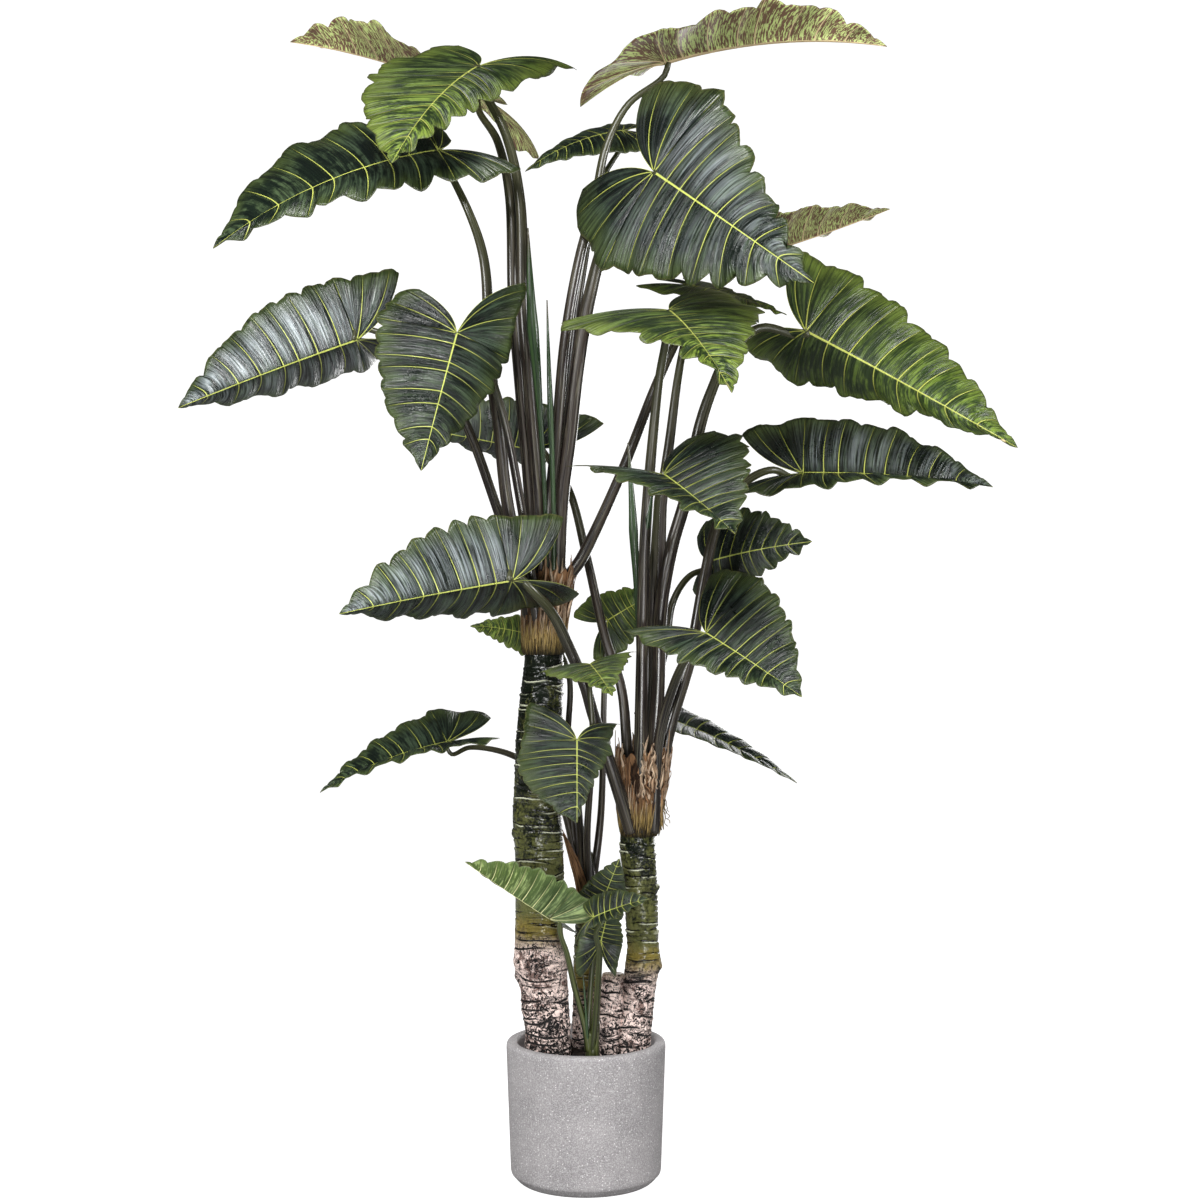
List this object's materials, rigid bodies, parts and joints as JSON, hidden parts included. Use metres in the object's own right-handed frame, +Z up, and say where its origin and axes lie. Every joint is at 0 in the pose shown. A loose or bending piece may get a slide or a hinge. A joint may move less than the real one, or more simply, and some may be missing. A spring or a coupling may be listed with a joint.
{
  "type": "potted taro",
  "caption": "Tall potted taro: upright cane trunks in a round stone-grey pot, with long dark stalks carrying large arrow-shaped leaves.",
  "frame": {"origin": "middle of the flat underside of the pot", "axes": "+Z up along the pot, the plant is seen from -Y, and its longest leaves reach out along +X and -X"},
  "size_m": [1.6228, 0.8726, 2.3897],
  "materials": {
    "stone": "matt, fine-grained",
    "soil": "matt",
    "cane": "satin",
    "fibre": "matt",
    "stalk": "satin",
    "green_stalk": "satin",
    "spear": "satin",
    "dark_leaf": "glossy",
    "mid_leaf": "glossy",
    "bright_leaf": "glossy",
    "pale_leaf": "satin"
  },
  "bodies": {
    "root": {"pot": "stone", "soil": "soil", "trunk_left": "cane", "trunk_right": "cane", "trunk_middle": "cane", "collar_left": "fibre", "collar_right": "fibre", "sheath_middle": "fibre", "stalks_left": "stalk", "stalks_right": "stalk", "stalks_middle": "stalk", "stalks_shoot": "green_stalk", "spear_right": "spear", "leaf_01_top_bright": "bright_leaf", "leaf_02_top_left_underside": "mid_leaf", "leaf_03_left_dark": "dark_leaf", "leaf_04_top_centre": "dark_leaf", "leaf_05_top_right_underside": "mid_leaf", "leaf_06_large_front": "dark_leaf", "leaf_07_upper_right_underside": "mid_leaf", "leaf_08_right_bright": "mid_leaf", "leaf_09_centre_bright": "bright_leaf", "leaf_10_left_grey": "dark_leaf", "leaf_11_left_front": "dark_leaf", "leaf_12_centre_back": "dark_leaf", "leaf_13_left_large": "dark_leaf", "leaf_14_centre_right": "dark_leaf", "leaf_15_right_dark": "dark_leaf", "leaf_16_right_back": "dark_leaf", "leaf_17_right_front": "dark_leaf", "leaf_18_back_small": "mid_leaf", "leaf_19_left_small": "bright_leaf", "leaf_20_centre_small": "bright_leaf", "leaf_21_centre_front": "dark_leaf", "leaf_22_left_lower": "dark_leaf", "leaf_23_right_lower": "dark_leaf", "leaf_24_low_pale": "pale_leaf", "leaf_25_low_right": "dark_leaf", "leaf_26_low_front": "dark_leaf", "leaf_27_hidden_back": "mid_leaf", "leaf_28_low_back": "dark_leaf"}
  },
  "joints": []
}
